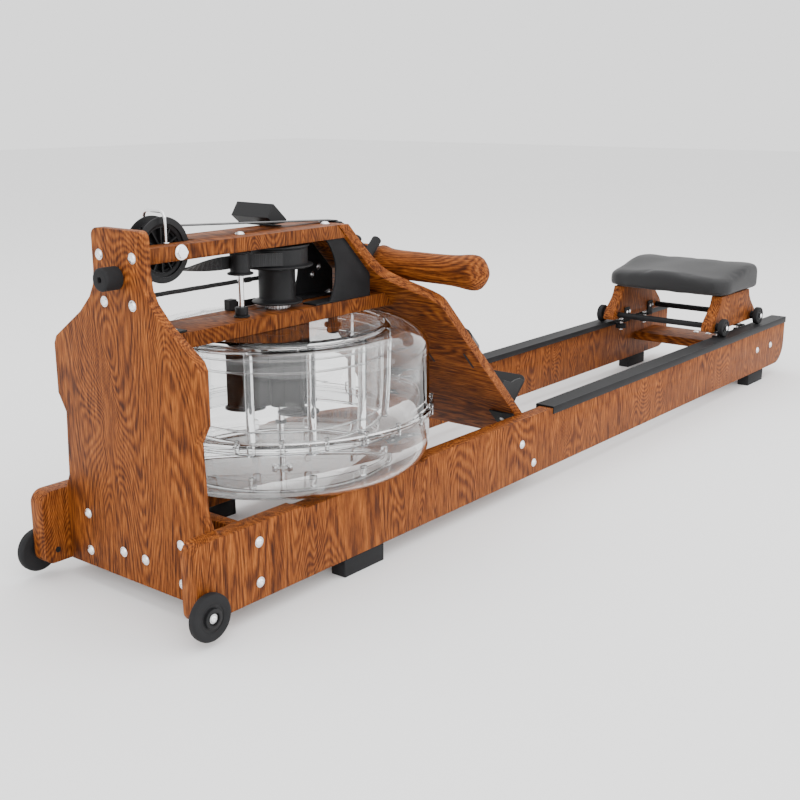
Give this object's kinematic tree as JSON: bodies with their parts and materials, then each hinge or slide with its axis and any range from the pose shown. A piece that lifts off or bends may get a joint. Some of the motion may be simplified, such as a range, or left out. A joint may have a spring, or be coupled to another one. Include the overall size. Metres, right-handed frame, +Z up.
{
  "type": "rowing machine",
  "caption": "Wooden water rowing machine: two long rails, rolling seat, slanted foot board, clear round water tank, strap drive and straight handle.",
  "frame": {"origin": "centre of the floor rectangle under the machine, at floor level", "axes": "+X from the tank end towards the seat end, +Y to the right of a rower who sits on the seat and faces the tank, +Z up"},
  "size_m": [2.1264, 0.504, 0.5734],
  "materials": {
    "wood": "satin varnish over streaked red-brown grain",
    "black_steel": "satin black powder coat",
    "black_plastic": "fine grained black moulding",
    "clear_plastic": "clear polished plastic",
    "chrome": "polished",
    "rubber": "matte",
    "webbing": "woven",
    "vinyl": "fine grained satin upholstery"
  },
  "bodies": {
    "frame": {"left_rail": "wood", "right_rail": "wood", "front_crossbar": "wood", "rear_crossbar": "wood", "front_panel": "wood", "top_beam": "wood", "lower_deck": "wood", "footboard": "wood", "left_track_cap": "black_steel", "right_track_cap": "black_steel", "left_side_plate": "black_steel", "right_side_plate": "black_steel", "roller_bracket": "black_steel", "bungee_anchor": "black_steel", "monitor_bracket": "black_steel", "left_foot_plate": "black_plastic", "right_foot_plate": "black_plastic", "handle_rest": "black_plastic", "fill_plug": "black_plastic", "tank_upper_shell": "clear_plastic", "tank_lower_shell": "clear_plastic", "tank_baffle_ring": "clear_plastic", "bearing_ring": "chrome", "pulley_axle": "chrome", "pulley_guard": "chrome", "guide_post": "chrome", "bumper": "rubber", "left_front_foot": "rubber", "left_rear_foot": "rubber", "right_front_foot": "rubber", "right_rear_foot": "rubber", "pull_strap": "webbing", "strap_tail": "webbing", "bungee_cord": "webbing"},
    "seat": {"seat_pad": "vinyl", "seat_base": "black_steel", "left_carriage_plate": "wood", "right_carriage_plate": "wood", "front_axle_rod": "black_steel", "rear_axle_rod": "black_steel"},
    "handle": {"handle_grip": "wood"},
    "pulley": {"front_pulley": "black_plastic"},
    "guide": {"guide_roller": "black_plastic"},
    "reel": {"strap_reel": "black_plastic"},
    "top_roller": {"rear_roller": "black_plastic"},
    "paddle": {"impeller": "black_plastic", "drive_shaft": "chrome"},
    "display": {"monitor": "black_plastic"},
    "left_heel": {"left_heel_cup": "black_plastic"},
    "right_heel": {"right_heel_cup": "black_plastic"},
    "left_transport": {"left_transport_wheel": "rubber"},
    "right_transport": {"right_transport_wheel": "rubber"},
    "left_front_seat_wheel": {"left_front_wheel": "rubber"},
    "left_front_side_roller": {"left_front_guide_roller": "black_plastic"},
    "left_rear_seat_wheel": {"left_rear_wheel": "rubber"},
    "left_rear_side_roller": {"left_rear_guide_roller": "black_plastic"},
    "right_front_seat_wheel": {"right_front_wheel": "rubber"},
    "right_front_side_roller": {"right_front_guide_roller": "black_plastic"},
    "right_rear_seat_wheel": {"right_rear_wheel": "rubber"},
    "right_rear_side_roller": {"right_rear_guide_roller": "black_plastic"}
  },
  "joints": [
    {"name": "seat_slide", "type": "slide", "parent": "frame", "child": "seat", "axis": [1, 0, 0], "range_m": [-0.78, 0.1]},
    {"name": "left_front_wheel_turn", "type": "hinge", "parent": "seat", "child": "left_front_seat_wheel", "pos_m": [0.69825, -0.168, 0.1719], "axis": [0, 1, 0], "range_deg": [-2060, 290]},
    {"name": "left_front_roller_turn", "type": "hinge", "parent": "seat", "child": "left_front_side_roller", "pos_m": [0.74025, -0.1355, 0.135], "axis": [0, 0, 1], "range_deg": [-500, 3500]},
    {"name": "left_rear_wheel_turn", "type": "hinge", "parent": "seat", "child": "left_rear_seat_wheel", "pos_m": [0.91425, -0.168, 0.1719], "axis": [0, 1, 0], "range_deg": [-2060, 290]},
    {"name": "left_rear_roller_turn", "type": "hinge", "parent": "seat", "child": "left_rear_side_roller", "pos_m": [0.87225, -0.1355, 0.135], "axis": [0, 0, 1], "range_deg": [-500, 3500]},
    {"name": "right_front_wheel_turn", "type": "hinge", "parent": "seat", "child": "right_front_seat_wheel", "pos_m": [0.69825, 0.168, 0.1719], "axis": [0, 1, 0], "range_deg": [-2060, 290]},
    {"name": "right_front_roller_turn", "type": "hinge", "parent": "seat", "child": "right_front_side_roller", "pos_m": [0.74025, 0.1355, 0.135], "axis": [0, 0, 1], "range_deg": [-3500, 500]},
    {"name": "right_rear_wheel_turn", "type": "hinge", "parent": "seat", "child": "right_rear_seat_wheel", "pos_m": [0.91425, 0.168, 0.1719], "axis": [0, 1, 0], "range_deg": [-2060, 290]},
    {"name": "right_rear_roller_turn", "type": "hinge", "parent": "seat", "child": "right_rear_side_roller", "pos_m": [0.87225, 0.1355, 0.135], "axis": [0, 0, 1], "range_deg": [-3500, 500]},
    {"name": "handle_pull", "type": "slide", "parent": "frame", "child": "handle", "axis": [0.9817, 0, 0.1903], "range_m": [0, 1.05]},
    {"name": "pulley_turn", "type": "hinge", "parent": "frame", "child": "pulley", "pos_m": [-0.92175, 0, 0.516], "axis": [0, 1, 0], "range_deg": [-20, 1920]},
    {"name": "guide_turn", "type": "hinge", "parent": "frame", "child": "guide", "pos_m": [-0.77975, -0.018, 0.48], "axis": [0, 0, 1], "range_deg": [-20, 3990]},
    {"name": "reel_turn", "type": "hinge", "parent": "frame", "child": "reel", "pos_m": [-0.68375, 0, 0.455], "axis": [0, 0, 1], "range_deg": [-1230, 20]},
    {"name": "top_roller_turn", "type": "hinge", "parent": "frame", "child": "top_roller", "pos_m": [-0.55075, 0, 0.5205], "axis": [0, 1, 0], "range_deg": [-20, 9400]},
    {"name": "paddle_turn", "type": "hinge", "parent": "frame", "child": "paddle", "pos_m": [-0.68375, 0, 0.3], "axis": [0, 0, 1], "continuous": true},
    {"name": "display_tilt", "type": "hinge", "parent": "frame", "child": "display", "pos_m": [-0.66375, 0.0523, 0.54], "axis": [0, 1, 0], "range_deg": [-6, 6]},
    {"name": "left_heel_adjust", "type": "slide", "parent": "frame", "child": "left_heel", "axis": [0.6985, 0, -0.7156], "range_m": [-0.085, 0.03]},
    {"name": "right_heel_adjust", "type": "slide", "parent": "frame", "child": "right_heel", "axis": [0.6985, 0, -0.7156], "range_m": [-0.085, 0.03]},
    {"name": "left_transport_turn", "type": "hinge", "parent": "frame", "child": "left_transport", "pos_m": [-1.02875, -0.197, 0.0435], "axis": [0, 1, 0], "continuous": true},
    {"name": "right_transport_turn", "type": "hinge", "parent": "frame", "child": "right_transport", "pos_m": [-1.02875, 0.197, 0.0435], "axis": [0, 1, 0], "continuous": true}
  ],
  "couplings": [
    {"joint": "left_front_wheel_turn", "follows": "seat_slide", "rad_per_m": 45.455},
    {"joint": "left_front_roller_turn", "follows": "seat_slide", "rad_per_m": -76.923},
    {"joint": "left_rear_wheel_turn", "follows": "seat_slide", "rad_per_m": 45.455},
    {"joint": "left_rear_roller_turn", "follows": "seat_slide", "rad_per_m": -76.923},
    {"joint": "right_front_wheel_turn", "follows": "seat_slide", "rad_per_m": 45.455},
    {"joint": "right_front_roller_turn", "follows": "seat_slide", "rad_per_m": 76.923},
    {"joint": "right_rear_wheel_turn", "follows": "seat_slide", "rad_per_m": 45.455},
    {"joint": "right_rear_roller_turn", "follows": "seat_slide", "rad_per_m": 76.923},
    {"joint": "pulley_turn", "follows": "handle_pull", "rad_per_m": 31.25},
    {"joint": "guide_turn", "follows": "handle_pull", "rad_per_m": 64.516},
    {"joint": "reel_turn", "follows": "handle_pull", "rad_per_m": -20},
    {"joint": "top_roller_turn", "follows": "handle_pull", "rad_per_m": 153.85}
  ]
}
